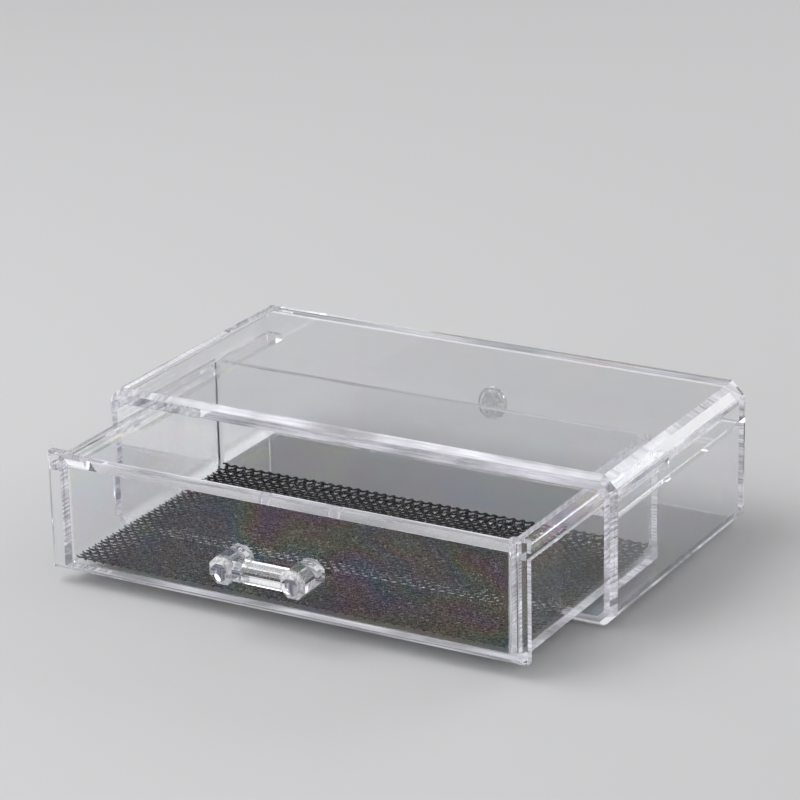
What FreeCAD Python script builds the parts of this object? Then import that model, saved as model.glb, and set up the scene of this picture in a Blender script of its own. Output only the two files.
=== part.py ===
"""Clear single-drawer cosmetics organiser: a moulded case, a hanging drawer, its pull and its net liner.

Millimetres. X runs across, Y from front to back and Z up. The origin is on the underside of
the case, in the middle. The drawer and what it carries are drawn closed, and their placement
pulls them forward by drawer_pull.
"""
import FreeCAD, Part
import os

import Sketcher

SIZES = {
    # Case: one moulding, open at the front, with bevelled long edges and a bevelled front rim.
    "case_width": 240.0,
    "case_depth": 122.0,
    "case_height": 65.0,
    "case_bevel": 6.0,
    "rim_bevel": 2.4,
    "side_wall": 5.0,
    "roof_wall": 6.5,
    "floor_wall": 4.8,
    "back_wall": 2.5,
    "bay_bevel": 3.0,
    "rail_thickness": 2.8,
    "gate_diameter": 14.0,
    "gate_recess": 0.5,
    # Drawer: a tray and its wider front in one moulding, hung from a runner on each side.
    "drawer_pull": 59.0,
    "front_thickness": 6.4,
    "front_bevel": 2.5,
    "inner_bevel_depth": 3.0,
    "inner_bevel_height": 5.8,
    "tray_wall": 3.0,
    "tray_floor": 2.5,
    "rim_drop": 1.7,
    "corner_round": 2.5,
    "floor_round": 0.8,
    "runner_thickness": 2.7,
    "runner_drop": 4.1,
    # Clearances and fits. Those of the drawer's outline are taken from the walls of the case.
    "front_side_gap": 4.5,
    "front_top_gap": 1.3,
    "front_foot_gap": 1.3,
    "front_proud": 1.0,
    "tray_side_gap": 9.4,
    "tray_rear_gap": 0.4,
    "runner_side_gap": 4.6,
    "rail_side_gap": 1.5,
    "slide_gap": 0.3,
    "closed_gap": 0.3,
    "peg_gap": 0.05,
    "liner_gap": 1.2,
    # Pull: two faceted knobs joined by a bar, on pegs through the front.
    "knob_spacing": 32.7,
    "knob_width": 11.6,
    "knob_length": 17.2,
    "knob_bevel": 2.2,
    "bar_width": 8.8,
    "bar_reach": 11.3,
    "pull_height": 22.2,
    "peg_diameter": 5.0,
    # Net liner on the drawer's floor.
    "liner_thickness": 2.0,
}

# Places worked out from the sizes, as expressions.
CASE_FRONT = "( case_depth / 2 + rim_bevel )"
BAY_HALF = "( case_width / 2 - side_wall )"
BAY_ROOF = "( case_height - roof_wall )"
FRONT_HALF = f"( {BAY_HALF} - front_side_gap )"
FRONT_FOOT = "( floor_wall + front_foot_gap )"
FRONT_TOP = f"( {BAY_ROOF} - front_top_gap )"
FRONT_FACE = f"( {CASE_FRONT} + front_proud )"
FRONT_BACK = f"( {FRONT_FACE} - front_thickness )"
TRAY_HALF = f"( {BAY_HALF} - tray_side_gap )"
TRAY_REAR = "( case_depth / 2 - back_wall - tray_rear_gap )"
TRAY_LENGTH = f"( {FRONT_BACK} + {TRAY_REAR} )"
TRAY_RIM = f"( {FRONT_TOP} - rim_drop )"
RUNNER_TOP = f"( {TRAY_RIM} - runner_drop )"
RUNNER_FOOT = f"( {RUNNER_TOP} - runner_thickness )"
RAIL_TOP = f"( {RUNNER_FOOT} - slide_gap )"
RAIL_FRONT = f"( {FRONT_BACK} - closed_gap )"
LINER_REACH = f"( {TRAY_HALF} - tray_wall - liner_gap )"
PULL_LEVEL = f"( {FRONT_FOOT} + pull_height )"
CLOSE = 0.01  # two points nearer than this are one
OCTAGON_SHARE = "0.2071"  # half of an octagon's side, as a share of its width across the flats

doc = FreeCAD.newDocument("Organiser")
sheet = doc.addObject("Spreadsheet::Sheet", "Sizes")


def fill_sheet():
    for row, (alias, value) in enumerate(SIZES.items(), start=1):
        sheet.set(f"A{row}", alias)
        sheet.set(f"B{row}", str(value))
        sheet.setAlias(f"B{row}", alias)
    doc.recompute()


def named(text):
    """The expression with its size names read from the sheet."""
    return " ".join(f"Sizes.{word}" if word in SIZES else word for word in text.split())


def number_of(text):
    return float(sheet.evalExpression(named(text)))


def new_body(label):
    body = doc.addObject("PartDesign::Body", label)
    body.Label = label
    return body


def drawer_body(label):
    """A body that moves with the drawer."""
    body = new_body(label)
    body.setExpression("Placement.Base.y", named("- drawer_pull"))
    return body


def origin_plane(body, role):
    for feature in body.Origin.OriginFeatures:
        if feature.Role == role:
            return feature
    raise ValueError(role)


def sketch_on(body, name, role, lift="0"):
    """A sketch on an origin plane of the body, moved along that plane's normal by lift.

    The normal of XZ_Plane points forward, to -Y.
    """
    sketch = body.newObject("Sketcher::SketchObject", name)
    sketch.AttachmentSupport = [(origin_plane(body, role), "")]
    sketch.MapMode = "FlatFace"
    sketch.setExpression("AttachmentOffset.Base.z", named(lift))
    return sketch


def hold(sketch, kind, edge, end, text):
    """One distance from the sketch's origin, driven by an expression."""
    number = sketch.addConstraint(Sketcher.Constraint(kind, -1, 1, edge, end, number_of(text)))
    sketch.setExpression(f"Constraints[{number}]", named(text))


def polygon(sketch, points):
    """Closed outline whose corners are held by pairs of expressions."""
    corners = [FreeCAD.Vector(number_of(across), number_of(along), 0) for across, along in points]
    count = len(points)
    for index in range(count):
        sketch.addGeometry(Part.LineSegment(corners[index], corners[(index + 1) % count]), False)
    for index in range(count):
        sketch.addConstraint(Sketcher.Constraint("Coincident", index, 2, (index + 1) % count, 1))
    for index, (across, along) in enumerate(points):
        hold(sketch, "DistanceX", index, 1, across)
        hold(sketch, "DistanceY", index, 1, along)


def rectangle(sketch, left, right, low, high):
    polygon(sketch, [(left, low), (right, low), (right, high), (left, high)])


def bevelled_rectangle(sketch, half_width, low, high, bevel):
    """Outline, symmetric about the Y axis of the sketch, with its four corners cut at 45 degrees."""
    inner = f"{half_width} - {bevel}"
    lower = f"{low} + {bevel}"
    upper = f"{high} - {bevel}"
    polygon(sketch, [
        (f"- ( {inner} )", low), (inner, low), (half_width, lower), (half_width, upper),
        (inner, high), (f"- ( {inner} )", high), (f"- ( {half_width} )", upper),
        (f"- ( {half_width} )", lower),
    ])


def octagon(sketch, across, along, width):
    """Regular octagon about a centre, with flats above, below and at both sides."""
    far = f"{width} * 0.5"
    near = f"{width} * {OCTAGON_SHARE}"
    turns = [(near, far), (far, near)]
    corners = []
    for sign_x, sign_y, order in ((1, 1, 1), (1, -1, -1), (-1, -1, 1), (-1, 1, -1)):
        for reach_x, reach_y in turns[::order]:
            place_x = f"{across} {'+' if sign_x > 0 else '-'} {reach_x}"
            place_y = f"{along} {'+' if sign_y > 0 else '-'} {reach_y}"
            corners.append((place_x, place_y))
    polygon(sketch, corners)


def circle(sketch, across, along, diameter):
    centre = FreeCAD.Vector(number_of(across), number_of(along), 0)
    radius = f"{diameter} / 2"
    edge = sketch.addGeometry(Part.Circle(centre, FreeCAD.Vector(0, 0, 1), number_of(radius)), False)
    hold(sketch, "DistanceX", edge, 3, across)
    hold(sketch, "DistanceY", edge, 3, along)
    number = sketch.addConstraint(Sketcher.Constraint("Radius", edge, number_of(radius)))
    sketch.setExpression(f"Constraints[{number}]", named(radius))


def finish_feature(body, feature):
    body.Tip = feature
    doc.recompute()
    return feature


def pad(body, sketch, name, length, backward=False, both_ways=False):
    """Material from a sketch, along its normal, against it, or half each way."""
    feature = body.newObject("PartDesign::Pad", name)
    feature.Profile = sketch
    feature.setExpression("Length", named(length))
    feature.Reversed = backward
    feature.Midplane = both_ways
    return finish_feature(body, feature)


def pocket(body, sketch, name, length, along_normal=False, both_ways=False):
    """A cut from a sketch, against its normal unless told otherwise; it must remove material."""
    before = body.Shape.Volume
    feature = body.newObject("PartDesign::Pocket", name)
    feature.Profile = sketch
    feature.setExpression("Length", named(length))
    feature.Reversed = along_normal
    feature.Midplane = both_ways
    finish_feature(body, feature)
    if body.Shape.Volume > before - 1.0:
        raise RuntimeError(f"{name} cuts nothing")
    return feature


def mirrored(body, features, name):
    """The same features on the other side of the middle plane."""
    feature = body.newObject("PartDesign::Mirrored", name)
    feature.Originals = features
    feature.MirrorPlane = (origin_plane(body, "YZ_Plane"), [""])
    return finish_feature(body, feature)


def dress(body, kind, name, size, wanted):
    """Fillet or chamfer of the tip's straight edges for which wanted(start, end) holds."""
    base = body.Tip
    names = []
    for number, edge in enumerate(base.Shape.Edges, start=1):
        if len(edge.Vertexes) == 2 and wanted(edge.Vertexes[0].Point, edge.Vertexes[1].Point):
            names.append(f"Edge{number}")
    feature = body.newObject(f"PartDesign::{kind}", name)
    feature.Base = (base, names)
    feature.setExpression("Radius" if kind == "Fillet" else "Size", named(size))
    return finish_feature(body, feature)


def edges_at(face_y):
    """A test for edges that lie in the plane Y = face_y."""
    def lies_there(start, end):
        return abs(start.y - face_y) < CLOSE and abs(end.y - face_y) < CLOSE
    return lies_there


def make_case():
    body = new_body("case")
    outside = sketch_on(body, "case_section", "XZ_Plane", CASE_FRONT)
    bevelled_rectangle(outside, "case_width / 2", "0", "case_height", "case_bevel")
    pad(body, outside, "case_block", "case_depth + rim_bevel", backward=True)
    dress(body, "Chamfer", "rim_bevels", "rim_bevel", edges_at(number_of(f"- {CASE_FRONT}")))

    inside = sketch_on(body, "bay_section", "XZ_Plane", CASE_FRONT)
    bevelled_rectangle(inside, BAY_HALF, "floor_wall", BAY_ROOF, "bay_bevel")
    pocket(body, inside, "bay", "case_depth + rim_bevel - back_wall")

    rail = sketch_on(body, "rail_section", "XZ_Plane", RAIL_FRONT)
    rail_edge = f"{TRAY_HALF} + rail_side_gap"
    rail_root = "case_width / 2 - side_wall / 2"
    rectangle(rail, rail_edge, rail_root, f"{RAIL_TOP} - rail_thickness", RAIL_TOP)
    rail_length = f"{RAIL_FRONT} + case_depth / 2 - back_wall / 2"
    rail_pad = pad(body, rail, "rail", rail_length, backward=True)
    mirrored(body, [rail_pad], "rails")

    gate = sketch_on(body, "gate_outline", "XZ_Plane", "- case_depth / 2")
    circle(gate, "0", "case_height / 2", "gate_diameter")
    pocket(body, gate, "gate_mark", "gate_recess", along_normal=True)
    return body


def make_front(body):
    """The drawer's front, with bevels round its face at both sides and along its foot."""
    front = sketch_on(body, "front_outline", "XZ_Plane", FRONT_FACE)
    rectangle(front, f"- {FRONT_HALF}", FRONT_HALF, FRONT_FOOT, FRONT_TOP)
    pad(body, front, "front", "front_thickness", backward=True)
    front_top = number_of(FRONT_TOP)
    in_face = edges_at(number_of(f"- {FRONT_FACE}"))

    def is_side_or_foot(start, end):
        return in_face(start, end) and min(start.z, end.z) < front_top - CLOSE

    dress(body, "Chamfer", "front_bevels", "front_bevel", is_side_or_foot)


def bevel_inside_of_front(body, half_hollow):
    """A tall bevel along the inner top edge of the front, between the tray's side walls."""
    section = sketch_on(body, "inner_bevel_section", "YZ_Plane")
    polygon(section, [
        (f"- {FRONT_BACK}", f"{FRONT_TOP} - inner_bevel_height"),
        (f"- {FRONT_BACK}", FRONT_TOP),
        (f"- {FRONT_BACK} - inner_bevel_depth", FRONT_TOP),
    ])
    pocket(body, section, "inner_bevel", f"2 * ( {half_hollow} )", both_ways=True)


def make_drawer():
    body = drawer_body("drawer")
    make_front(body)

    tray = sketch_on(body, "tray_section", "XZ_Plane", FRONT_BACK)
    rectangle(tray, f"- {TRAY_HALF}", TRAY_HALF, FRONT_FOOT, TRAY_RIM)
    pad(body, tray, "tray_block", TRAY_LENGTH, backward=True)

    hollow = sketch_on(body, "hollow_outline", "XY_Plane", TRAY_RIM)
    half_hollow = f"{TRAY_HALF} - tray_wall"
    rear_wall = f"{TRAY_REAR} - tray_wall"
    rectangle(hollow, f"- ( {half_hollow} )", half_hollow, f"- {FRONT_BACK}", rear_wall)
    pocket(body, hollow, "hollow", f"{TRAY_RIM} - {FRONT_FOOT} - tray_floor")

    inner_side = number_of(half_hollow)
    inner_floor = number_of(f"{FRONT_FOOT} + tray_floor")

    def is_inner_corner(start, end):
        upright = abs(start.x - end.x) < CLOSE and abs(start.y - end.y) < CLOSE
        return upright and abs(abs(start.x) - inner_side) < CLOSE

    def is_floor_edge(start, end):
        return abs(start.z - inner_floor) < CLOSE and abs(end.z - inner_floor) < CLOSE

    dress(body, "Fillet", "inner_corners", "corner_round", is_inner_corner)
    dress(body, "Fillet", "floor_edges", "floor_round", is_floor_edge)

    runner = sketch_on(body, "runner_section", "XZ_Plane", FRONT_BACK)
    runner_root = f"{TRAY_HALF} - tray_wall / 2"
    runner_edge = f"{BAY_HALF} - runner_side_gap"
    rectangle(runner, runner_root, runner_edge, RUNNER_FOOT, RUNNER_TOP)
    runner_pad = pad(body, runner, "runner", TRAY_LENGTH, backward=True)
    mirrored(body, [runner_pad], "runners")

    bevel_inside_of_front(body, half_hollow)

    hole = sketch_on(body, "peg_hole_outline", "XZ_Plane", FRONT_FACE)
    circle(hole, "knob_spacing / 2", PULL_LEVEL, "( peg_diameter + 2 * peg_gap )")
    hole_cut = pocket(body, hole, "peg_hole", "front_thickness")
    mirrored(body, [hole_cut], "peg_holes")
    return body


def make_pull():
    """Two octagonal knobs and their bar, moulded together with the pegs that hold them."""
    body = drawer_body("pull_handle")
    knob = sketch_on(body, "knob_outline", "XZ_Plane", FRONT_FACE)
    octagon(knob, "knob_spacing / 2", PULL_LEVEL, "knob_width")
    knob_pad = pad(body, knob, "knob", "knob_length")
    mirrored(body, [knob_pad], "knobs")
    knob_face = number_of(f"- {FRONT_FACE} - knob_length")
    dress(body, "Chamfer", "knob_bevels", "knob_bevel", edges_at(knob_face))

    peg = sketch_on(body, "peg_outline", "XZ_Plane", FRONT_FACE)
    circle(peg, "knob_spacing / 2", PULL_LEVEL, "peg_diameter")
    peg_pad = pad(body, peg, "peg", "front_thickness", backward=True)
    mirrored(body, [peg_pad], "pegs")

    bar = sketch_on(body, "bar_section", "YZ_Plane")
    octagon(bar, f"- {FRONT_FACE} - bar_reach", PULL_LEVEL, "bar_width")
    pad(body, bar, "bar", "knob_spacing", both_ways=True)
    return body


def make_liner():
    """Net mat lying on the drawer's floor."""
    body = drawer_body("mesh_liner")
    outline = sketch_on(body, "liner_outline", "XY_Plane", f"{FRONT_FOOT} + tray_floor")
    front_edge = f"- {FRONT_BACK} + liner_gap"
    rear_edge = f"{TRAY_REAR} - tray_wall - liner_gap"
    rectangle(outline, f"- {LINER_REACH}", LINER_REACH, front_edge, rear_edge)
    pad(body, outline, "liner_mat", "liner_thickness")
    return body


def check(bodies):
    for item in doc.Objects:
        if "Invalid" in item.State or "Error" in item.State:
            raise RuntimeError(f"{item.Label}: {item.State}")
    for body in bodies:
        if body.Shape.isNull() or not body.Shape.isValid() or len(body.Shape.Solids) != 1:
            raise RuntimeError(f"{body.Label} is not one valid solid")


def export(bodies):
    os.makedirs("parts", exist_ok=True)
    for body in bodies:
        body.Shape.exportStep(f"parts/{body.Label}.step")
        box = body.Shape.BoundBox
        low = f"{box.XMin:.2f}, {box.YMin:.2f}, {box.ZMin:.2f}"
        high = f"{box.XMax:.2f}, {box.YMax:.2f}, {box.ZMax:.2f}"
        print(f"{body.Label}: from ({low}) to ({high}) mm, {body.Shape.Volume:.0f} mm3")


fill_sheet()
pieces = [make_case(), make_drawer(), make_pull(), make_liner()]
doc.recompute()
check(pieces)
export(pieces)
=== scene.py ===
"""Looks of a clear cosmetics organiser: polished plastic with moulding marks, and a net liner."""
import math
import random

import bpy
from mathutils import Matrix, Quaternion, Vector


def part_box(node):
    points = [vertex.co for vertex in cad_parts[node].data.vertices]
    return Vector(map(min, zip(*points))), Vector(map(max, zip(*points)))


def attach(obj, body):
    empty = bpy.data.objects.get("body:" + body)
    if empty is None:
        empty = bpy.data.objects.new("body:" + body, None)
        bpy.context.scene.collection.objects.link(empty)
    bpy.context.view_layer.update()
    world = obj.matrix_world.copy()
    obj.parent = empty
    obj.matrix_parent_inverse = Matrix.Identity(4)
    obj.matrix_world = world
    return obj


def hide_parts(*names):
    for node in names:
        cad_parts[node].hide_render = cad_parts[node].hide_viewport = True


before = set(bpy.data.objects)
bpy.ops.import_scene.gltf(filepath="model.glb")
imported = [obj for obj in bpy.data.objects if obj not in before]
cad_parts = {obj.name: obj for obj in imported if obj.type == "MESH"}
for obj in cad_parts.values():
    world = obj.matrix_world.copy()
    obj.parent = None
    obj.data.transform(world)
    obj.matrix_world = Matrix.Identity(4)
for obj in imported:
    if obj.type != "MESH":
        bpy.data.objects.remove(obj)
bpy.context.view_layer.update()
rng = random.Random(4214)

# Sizes are in metres.

# Clear plastic
PLASTIC_INDEX = 1.5
FILM_INDEX = 1.40
FILM_THICKNESS = (180.0, 620.0)  # nanometres
POLISHED = 0.012
SCUFFED = 0.09
MOULDING_TINT = (0.965, 0.968, 0.98)
PULL_TINT = (0.975, 0.977, 0.985)

# Light counts as trapped after so many mirrorings, or so many steps of any kind. TRAPPED_LIGHT is the
# colour of the light that stands in for it.
TRAPPED_MIRRORINGS = 3.5
TRAPPED_STEPS = 11.5
TRAPPED_LIGHT = (0.79, 0.78, 0.85, 1.0)

# Gate mark, by the distance from its middle
GATE_DISC = 0.0054
GATE_RING_INSIDE = 0.0064
GATE_RING_OUTSIDE = 0.0069
GATE_SOFTNESS = 0.0002
GATE_DISC_CLOUD = (0.12, 0.6)
GATE_RING_CLOUD = 0.75

# Knobs of the pull: where they begin beside the middle, and how far their bevels face forward
KNOB_INSIDE = 0.0105
KNOB_SOFTNESS = 0.0001
LEAST_FORWARD = 0.59
MOST_FORWARD = 0.83
FORWARD_SOFTNESS = 0.03
KNOB_CLOUD = (0.28, 0.58)

# Net: its cell and strands
CELL = 0.00445
STEP = CELL / 4
STRAND_WIDTH = 0.00158
WEFT_WIDTH = 0.00084
STRAND_HEIGHT = 0.0007
SIDES = 5
END_SIZE = 0.62
FULLNESS = 0.92

# Net: how its strands weave and how it is cut
LYING_HEIGHT = 0.0012
STRAND_WEAVE = 0.0004
WEFT_LIFT = 0.00055
WEFT_WEAVE = 0.0003
WEFT_SWAY = 0.0004
WEFT_WOBBLE = 0.00012
SHORTEST_STRAND = 4  # points
SIDE_MARGIN = 0.0001
REAR_MARGIN = 0.0002
FRONT_CUT = (0.0003, 0.0008)
REAR_LIFT = (-0.0002, 0.0004)

# Net: its edges and its swells. Each length says how far from the edge the change begins.
CURL = 0.0008
CURL_LENGTH = 0.006
TURN_UP = 0.0032
TURN_UP_LENGTH = 0.007
LEAN = 0.0017
LEAN_LENGTH = 0.0026
THICKENING = 0.55
THICKENING_LENGTH = 0.008
SWELL = 0.00025
SWELLS_ACROSS = 95.0  # radians in a metre
SWELLS_ALONG = 120.0

YARN_BLACK = (0.004, 0.004, 0.005, 1.0)
YARN_DARK = (0.016, 0.015, 0.018, 1.0)
YARN_PALE = (0.50, 0.50, 0.52, 1.0)

# Stage
FLOOR_PAINT = (0.66, 0.66, 0.67, 1.0)
FLOOR_LEVEL = -0.0003
FLOOR_REACH = 4.0
AIM = (0, 0, 0.04)
FRONT_AIM = (0, -0.1, 0.04)
ROOM_HEIGHTS = (0.04, 0.26)
ROOM_LEVELS = (0.88, 0.42)
CAMERA_TARGET = Vector((-0.012857, 0.0, 0.055523))
CAMERA_DISTANCE = 1.4514
CAMERA_AZIMUTH = math.radians(29.87)
CAMERA_ELEVATION = math.radians(20.04)
CAMERA_ROLL = math.radians(1.21)
CAMERA_LENS = 153.49  # millimetres, as the sensor
CAMERA_SENSOR = 36.0
CAMERA_SIGHT = 20.0


# Shader nodes

def new_material(name):
    material = bpy.data.materials.new(name)
    material.use_nodes = True
    return material


def node(tree, kind, **settings):
    made = tree.nodes.new(kind)
    for key, value in settings.items():
        setattr(made, key, value)
    return made


def opened(material):
    """A material's node tree, its shader, and a socket that gives the place on the object."""
    tree = material.node_tree
    place = node(tree, "ShaderNodeTexCoord").outputs["Object"]
    return tree, tree.nodes["Principled BSDF"], place


def noise(tree, place, scale, detail=2.0, stretch=(1.0, 1.0, 1.0)):
    mapping = node(tree, "ShaderNodeMapping")
    mapping.inputs["Scale"].default_value = stretch
    tree.links.new(place, mapping.inputs["Vector"])
    made = node(tree, "ShaderNodeTexNoise")
    made.inputs["Scale"].default_value = scale
    made.inputs["Detail"].default_value = detail
    tree.links.new(mapping.outputs["Vector"], made.inputs["Vector"])
    return made.outputs["Fac"]


def ramp(tree, value, between, to):
    """The value carried over from one range to another, and held at that range's ends."""
    made = node(tree, "ShaderNodeMapRange")
    made.inputs["From Min"].default_value = between[0]
    made.inputs["From Max"].default_value = between[1]
    made.inputs["To Min"].default_value = to[0]
    made.inputs["To Max"].default_value = to[1]
    tree.links.new(value, made.inputs["Value"])
    return made.outputs["Result"]


def above(tree, value, edge, softness):
    """1 where the value is above the edge and 0 below it, with a soft step between."""
    return ramp(tree, value, between=(edge - softness, edge + softness), to=(0.0, 1.0))


def below(tree, value, edge, softness):
    return ramp(tree, value, between=(edge - softness, edge + softness), to=(1.0, 0.0))


def joined(tree, operation, first, second):
    """Two values made into one by a Math node."""
    made = node(tree, "ShaderNodeMath", operation=operation)
    tree.links.new(first, made.inputs[0])
    tree.links.new(second, made.inputs[1])
    return made.outputs["Value"]


def times(tree, first, second):
    return joined(tree, "MULTIPLY", first, second)


def parts_without_sign(tree, vector):
    """How far a vector reaches along X, Y and Z, whichever way it points."""
    reach = node(tree, "ShaderNodeVectorMath", operation="ABSOLUTE")
    tree.links.new(vector, reach.inputs[0])
    parts = node(tree, "ShaderNodeSeparateXYZ")
    tree.links.new(reach.outputs["Vector"], parts.inputs["Vector"])
    return parts.outputs


def facing(tree):
    """How far the surface faces along X, Y and Z."""
    return parts_without_sign(tree, node(tree, "ShaderNodeTexCoord").outputs["Normal"])


def bevel_share(tree, on_faces, on_bevels):
    """One value on the broad faces, which face along an axis, and another on the slanting bevels."""
    parts = facing(tree)
    largest = joined(tree, "MAXIMUM", parts["X"], parts["Y"])
    largest = joined(tree, "MAXIMUM", largest, parts["Z"])
    return ramp(tree, largest, between=(0.90, 0.98), to=(on_bevels, on_faces))


def bumped(tree, height, distance, strength, before=None):
    made = node(tree, "ShaderNodeBump")
    made.inputs["Distance"].default_value = distance
    if isinstance(strength, float):
        made.inputs["Strength"].default_value = strength
    else:
        tree.links.new(strength, made.inputs["Strength"])
    tree.links.new(height, made.inputs["Height"])
    if before:
        tree.links.new(before, made.inputs["Normal"])
    return made.outputs["Normal"]


# Clear plastic

def polish(tree, shader, place, flow, ripple):
    """Hairline scuffs, a faint flow of the moulding in the faces, and rippled bevels."""
    scuffs = noise(tree, place, scale=420.0, detail=3.0, stretch=(1.0, 0.12, 1.0))
    roughness = ramp(tree, scuffs, between=(0.56, 0.78), to=(POLISHED, SCUFFED))
    tree.links.new(roughness, shader.inputs["Roughness"])
    waves = noise(tree, place, scale=38.0, detail=1.0, stretch=(1.0, 1.0, flow))
    waved = bumped(tree, waves, distance=0.0004, strength=0.12)
    grain = noise(tree, place, scale=560.0, detail=1.5, stretch=(0.12, 1.0, 1.0))
    share = bevel_share(tree, on_faces=0.02, on_bevels=ripple)
    rippled = bumped(tree, grain, distance=0.0003, strength=share, before=waved)
    tree.links.new(rippled, shader.inputs["Normal"])


def strain(tree, shader, place):
    """A thin film stands in for the strain of moulding, which colours the gloss of the faces a little."""
    strained = noise(tree, place, scale=17.0, stretch=(1.0, 1.0, 1.6))
    film = ramp(tree, strained, between=(0.3, 0.7), to=FILM_THICKNESS)
    film = times(tree, film, bevel_share(tree, on_faces=1.0, on_bevels=0.0))
    tree.links.new(film, shader.inputs["Thin Film Thickness"])
    shader.inputs["Thin Film IOR"].default_value = FILM_INDEX


def stand_in_for_trapped_light(tree, shader, place, glow):
    """The plastic shines by itself where light has been trapped in its thin edges for many steps.

    The renderer drops such light and leaves black there. The stand-in comes in fine streaks, from glow's
    first level to its second, and doesn't follow the lamps.
    """
    path = node(tree, "ShaderNodeLightPath")
    mirrored = above(tree, path.outputs["Glossy Depth"], TRAPPED_MIRRORINGS, softness=0.1)
    wandering = above(tree, path.outputs["Ray Depth"], TRAPPED_STEPS, softness=0.1)
    trapped = joined(tree, "MAXIMUM", mirrored, wandering)
    lines = noise(tree, place, scale=1300.0, detail=3.0, stretch=(0.02, 0.02, 1.0))
    lines = ramp(tree, lines, between=(0.38, 0.62), to=glow)
    cells = noise(tree, place, scale=520.0, detail=1.0, stretch=(0.03, 1.0, 0.03))
    cells = ramp(tree, cells, between=(0.36, 0.60), to=(0.62, 1.08))
    strength = times(tree, trapped, times(tree, lines, cells))
    shader.inputs["Emission Color"].default_value = TRAPPED_LIGHT
    shader.inputs["Emission Strength"].default_value = 0.0
    tree.links.new(strength, shader.inputs["Emission Strength"])


def clear_plastic(name, tint, flow, ripple, glow):
    material = new_material(name)
    tree, shader, place = opened(material)
    shader.inputs["Base Color"].default_value = (*tint, 1.0)
    shader.inputs["IOR"].default_value = PLASTIC_INDEX
    shader.inputs["Transmission Weight"].default_value = 1.0
    polish(tree, shader, place, flow, ripple)
    strain(tree, shader, place)
    stand_in_for_trapped_light(tree, shader, place, glow)
    material.cycles.emission_sampling = "NONE"
    return material


def cloud(tree, shader, share):
    """Makes the plastic milky by a share from 0, clear, to 1."""
    clear = ramp(tree, share, between=(0.0, 1.0), to=(1.0, 0.0))
    tree.links.new(clear, shader.inputs["Transmission Weight"])


def mark_gate(material):
    """Cloudy, lumpy disc in a raised ring, in the middle of the back wall, where the mould was filled."""
    tree, shader, place = opened(material)
    low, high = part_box("case")
    from_middle = node(tree, "ShaderNodeVectorMath", operation="SUBTRACT")
    from_middle.inputs[1].default_value = ((low.x + high.x) / 2, high.y, (low.z + high.z) / 2)
    tree.links.new(place, from_middle.inputs[0])
    length = node(tree, "ShaderNodeVectorMath", operation="LENGTH")
    tree.links.new(from_middle.outputs["Vector"], length.inputs[0])
    reach = length.outputs["Value"]
    disc = below(tree, reach, GATE_DISC, GATE_SOFTNESS)
    past_inside = above(tree, reach, GATE_RING_INSIDE, GATE_SOFTNESS)
    within_outside = below(tree, reach, GATE_RING_OUTSIDE, GATE_SOFTNESS)
    ring = times(tree, past_inside, within_outside)
    lumps = noise(tree, place, scale=420.0, detail=3.0)
    disc_cloud = times(tree, disc, ramp(tree, lumps, between=(0.42, 0.62), to=GATE_DISC_CLOUD))
    ring_cloud = ramp(tree, ring, between=(0.0, 1.0), to=(0.0, GATE_RING_CLOUD))
    cloud(tree, shader, joined(tree, "ADD", disc_cloud, ring_cloud))
    polished = shader.inputs["Normal"].links[0].from_socket
    lumpy = bumped(tree, times(tree, disc, lumps), distance=0.0012, strength=0.8, before=polished)
    raised = bumped(tree, ring, distance=0.0004, strength=0.8, before=lumpy)
    tree.links.new(raised, shader.inputs["Normal"])


def cloud_knobs(material):
    """The bevels round the ends of the pull's knobs are a little milky."""
    tree, shader, place = opened(material)
    forward = facing(tree)["Y"]
    past_least = above(tree, forward, LEAST_FORWARD, FORWARD_SOFTNESS)
    within_most = below(tree, forward, MOST_FORWARD, FORWARD_SOFTNESS)
    on_knob = above(tree, parts_without_sign(tree, place)["X"], KNOB_INSIDE, KNOB_SOFTNESS)
    on_bevel = times(tree, times(tree, past_least, within_most), on_knob)
    grain = ramp(tree, noise(tree, place, scale=900.0), between=(0.35, 0.65), to=KNOB_CLOUD)
    cloud(tree, shader, times(tree, on_bevel, grain))


def dress(name, material):
    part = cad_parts[name]
    part.data.materials.clear()
    part.data.materials.append(material)


def dress_mouldings():
    case = clear_plastic("clear_case_moulding", MOULDING_TINT, flow=0.5, ripple=0.10, glow=(0.15, 0.54))
    mark_gate(case)
    dress("case", case)
    tray = clear_plastic("clear_drawer_moulding", MOULDING_TINT, flow=0.6, ripple=0.06, glow=(0.16, 0.52))
    dress("drawer", tray)
    pull = clear_plastic("clear_pull_moulding", PULL_TINT, flow=1.0, ripple=0.05, glow=(0.0, 0.22))
    cloud_knobs(pull)
    dress("pull_handle", pull)


# Net liner: flat strands slant both ways, over and under each other, and a weft ties their crossings.

def net_yarn(name):
    """Black plastic yarn, knotted and glossy in small specks, with a few small pale specks in its colour.
    """
    material = new_material(name)
    tree, shader, place = opened(material)
    speckle = noise(tree, place, scale=1500.0)
    colour = node(tree, "ShaderNodeValToRGB")
    stops = colour.color_ramp.elements
    stops[0].color = YARN_BLACK
    stops.new(0.62).color = YARN_DARK
    stops[2].position = 0.66
    stops[2].color = YARN_PALE
    tree.links.new(speckle, colour.inputs["Fac"])
    tree.links.new(colour.outputs["Color"], shader.inputs["Base Color"])
    tree.links.new(ramp(tree, speckle, between=(0.3, 0.7), to=(0.25, 0.5)), shader.inputs["Roughness"])
    knots = noise(tree, place, scale=1100.0)
    tree.links.new(bumped(tree, knots, distance=0.0009, strength=0.9), shader.inputs["Normal"])
    return material


def nearness(distance, length):
    """1 at an edge, falling evenly to 0 at length from it."""
    return max(0.0, 1.0 - distance / length)


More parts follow.
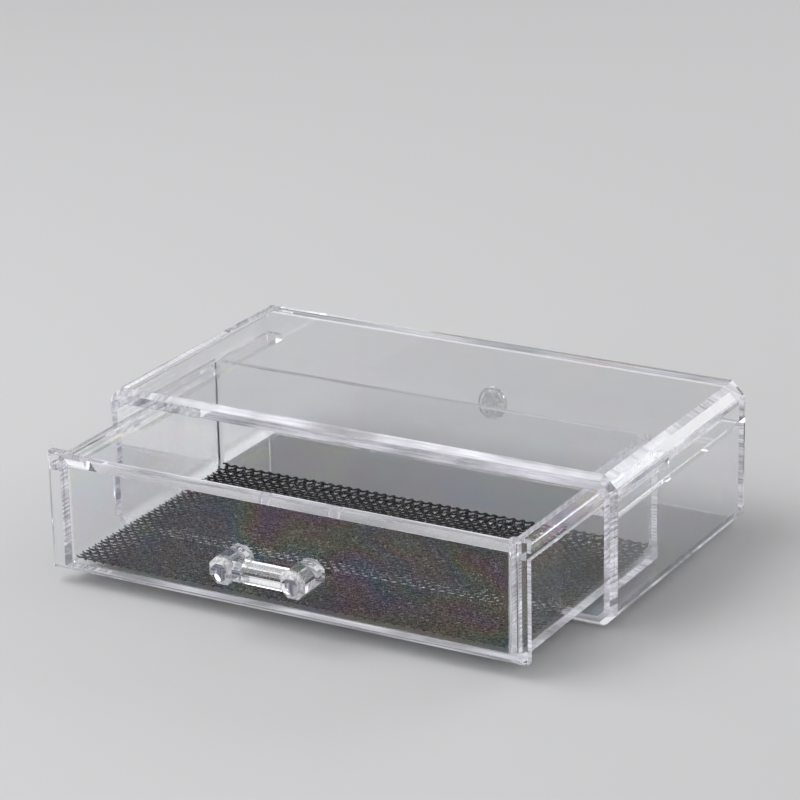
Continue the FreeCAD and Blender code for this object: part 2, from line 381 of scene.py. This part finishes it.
def net_level(x, y, low, high, weave):
    """Height of a strand's middle: the net swells in places, and its edges curl up, most at the back."""
    curl = CURL * nearness(min(x - low.x, high.x - x, y - low.y), CURL_LENGTH) ** 2
    turned = TURN_UP * nearness(high.y - y, TURN_UP_LENGTH) ** 2
    swell = SWELL * math.sin(x * SWELLS_ACROSS) * math.sin(y * SWELLS_ALONG + 1.0)
    return low.z + LYING_HEIGHT + weave + curl + turned + max(0.0, swell)


def net_spot(x, y, low, high, weave):
    """Point of the net's cloth, which leans to one side along its back edge."""
    lean = LEAN * nearness(high.y - y, LEAN_LENGTH) ** 2
    return Vector((min(x + lean, high.x), y, net_level(x, y, low, high, weave)))


def fullness_at(y, high, knot, unevenness):
    """How full a strand is: more at its knots, and at the back, where cut loops are drawn together."""
    full = FULLNESS + knot + rng.uniform(-unevenness, unevenness)
    return full * (1.0 + THICKENING * nearness(high.y - y, THICKENING_LENGTH))


def add_strand(points, faces, path, width, fullness):
    """Flattened tube along a path of points, closed at both ends."""
    start = len(points)
    count = len(path)
    for index, spot in enumerate(path):
        ahead = path[min(index + 1, count - 1)] - path[max(index - 1, 0)]
        across = Vector((-ahead.y, ahead.x, 0.0)).normalized()
        up = ahead.cross(across).normalized()
        size = fullness[index] * (END_SIZE if index in (0, count - 1) else 1.0)
        for corner in range(SIDES):
            angle = math.tau * (corner / SIDES + 0.25)
            sideways = across * (math.cos(angle) * width / 2)
            upwards = up * (math.sin(angle) * STRAND_HEIGHT / 2)
            points.append(spot + (sideways + upwards) * size)
    for ring in range(count - 1):
        for corner in range(SIDES):
            a = start + ring * SIDES + corner
            b = start + ring * SIDES + (corner + 1) % SIDES
            faces.append((a, b, b + SIDES, a + SIDES))
    faces.append(tuple(start + corner for corner in reversed(range(SIDES))))
    faces.append(tuple(start + (count - 1) * SIDES + corner for corner in range(SIDES)))


def add_slanting_strands(points, faces, low, high, slope):
    """Parallel strands a cell apart. Each goes over one crossing and under the next, half a cell on."""
    size = high - low
    offset = 0.0 if slope > 0 else CELL / 2
    first = int((low.x - size.y) / CELL) - 1
    last = int((high.x + size.y) / CELL) + 1
    for number in range(first, last + 1):
        path, fullness = [], []
        front = low.y + rng.uniform(*FRONT_CUT)
        lift = rng.uniform(*REAR_LIFT)
        for step in range(int(size.y / STEP) + 1):
            y = low.y + step * STEP
            x = number * CELL + offset + slope * (y - low.y)
            beside = x < low.x + SIDE_MARGIN or x > high.x - SIDE_MARGIN
            if beside or y < front or y > high.y - REAR_MARGIN:
                continue
            turn = math.pi * (2 * (y - low.y) / CELL - 0.5)
            spot = net_spot(x, y, low, high, slope * STRAND_WEAVE * math.cos(turn))
            if high.y - y < LEAN_LENGTH:
                spot.z += lift
            path.append(spot)
            fullness.append(fullness_at(y, high, knot=0.14 * math.cos(2 * turn), unevenness=0.08))
        if len(path) >= SHORTEST_STRAND:
            add_strand(points, faces, path, STRAND_WIDTH, fullness)


def add_weft(points, faces, low, high):
    """Thin threads from side to side through the crossings, swaying from one to the next."""
    size = high - low
    for row in range(int((size.y - CELL / 4) / (CELL / 2)) + 1):
        y = low.y + CELL / 4 + row * CELL / 2
        path, fullness = [], []
        for step in range(int(low.x / STEP), int(high.x / STEP) + 1):
            x = step * STEP
            turn = math.tau * (x / CELL - 0.25 - row / 2)
            spot = net_spot(x, y, low, high, WEFT_LIFT + WEFT_WEAVE * math.cos(turn))
            spot.y += rng.uniform(-WEFT_WOBBLE, WEFT_WOBBLE) - WEFT_SWAY * math.sin(turn)
            path.append(spot)
            fullness.append(fullness_at(y, high, knot=0.2 * math.cos(turn), unevenness=0.12))
        add_strand(points, faces, path, WEFT_WIDTH, fullness)


def make_net():
    low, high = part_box("mesh_liner")
    points, faces = [], []
    for slope in (1.0, -1.0):
        add_slanting_strands(points, faces, low, high, slope)
    add_weft(points, faces, low, high)
    mesh = bpy.data.meshes.new("net_liner")
    mesh.from_pydata(points, [], faces)
    mesh.validate()
    for face in mesh.polygons:
        face.use_smooth = len(face.vertices) == 4
    net = bpy.data.objects.new("net_liner", mesh)
    bpy.context.scene.collection.objects.link(net)
    mesh.materials.append(net_yarn("black_net_yarn"))
    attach(net, "drawer_body")
    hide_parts("mesh_liner")


# Stage

def make_floor():
    mesh = bpy.data.meshes.new("floor")
    corners = [(-1, -1), (1, -1), (1, 1), (-1, 1)]
    points = [(x * FLOOR_REACH, y * FLOOR_REACH, FLOOR_LEVEL) for x, y in corners]
    mesh.from_pydata(points, [], [(0, 1, 2, 3)])
    floor = bpy.data.objects.new("floor", mesh)
    bpy.context.scene.collection.objects.link(floor)
    material = new_material("floor_paint")
    paint = material.node_tree.nodes["Principled BSDF"]
    paint.inputs["Base Color"].default_value = FLOOR_PAINT
    paint.inputs["Roughness"].default_value = 0.9
    paint.inputs["Specular IOR Level"].default_value = 0.1
    mesh.materials.append(material)


def softbox(name, place, aim, width, height, power):
    light = bpy.data.lights.new(name, "AREA")
    light.shape = "RECTANGLE"
    light.size = width
    light.size_y = height
    light.energy = power
    lamp = bpy.data.objects.new(name, light)
    bpy.context.scene.collection.objects.link(lamp)
    lamp.location = place
    lamp.rotation_euler = (Vector(aim) - Vector(place)).to_track_quat("-Z", "Y").to_euler()


def make_world():
    """Pale all round at the level of the floor and greyer above it."""
    world = bpy.data.worlds.new("studio")
    bpy.context.scene.world = world
    world.use_nodes = True
    tree = world.node_tree
    tree.nodes.clear()
    height = node(tree, "ShaderNodeSeparateXYZ")
    tree.links.new(node(tree, "ShaderNodeTexCoord").outputs["Generated"], height.inputs["Vector"])
    room = node(tree, "ShaderNodeBackground")
    tree.links.new(ramp(tree, height.outputs["Z"], ROOM_HEIGHTS, ROOM_LEVELS), room.inputs["Color"])
    out = node(tree, "ShaderNodeOutputWorld")
    tree.links.new(room.outputs["Background"], out.inputs["Surface"])


def make_camera():
    """Looks from the front right and above, through a long lens."""
    outward = Vector((
        math.cos(CAMERA_ELEVATION) * math.sin(CAMERA_AZIMUTH),
        -math.cos(CAMERA_ELEVATION) * math.cos(CAMERA_AZIMUTH),
        math.sin(CAMERA_ELEVATION),
    ))
    level = (-outward).to_track_quat("-Z", "Y")
    data = bpy.data.cameras.new("camera")
    data.sensor_width = CAMERA_SENSOR
    data.lens = CAMERA_LENS
    data.clip_end = CAMERA_SIGHT
    camera = bpy.data.objects.new("camera", data)
    bpy.context.scene.collection.objects.link(camera)
    camera.location = CAMERA_TARGET + outward * CAMERA_DISTANCE
    camera.rotation_mode = "QUATERNION"
    camera.rotation_quaternion = level @ Quaternion((0, 0, 1), -CAMERA_ROLL)
    bpy.context.scene.camera = camera


dress_mouldings()
make_net()
make_floor()
softbox("top_softbox", place=(-0.94, -0.68, 1.64), aim=AIM, width=1.6, height=1.6, power=24.0)
softbox("front_softbox", place=(-0.94, -1.62, 0.72), aim=FRONT_AIM, width=0.9, height=0.8, power=4.0)
softbox("rear_softbox", place=(0.75, 1.72, 0.98), aim=AIM, width=1.5, height=0.8, power=8.4)
make_world()
make_camera()
bpy.context.scene.view_settings.view_transform = "Standard"
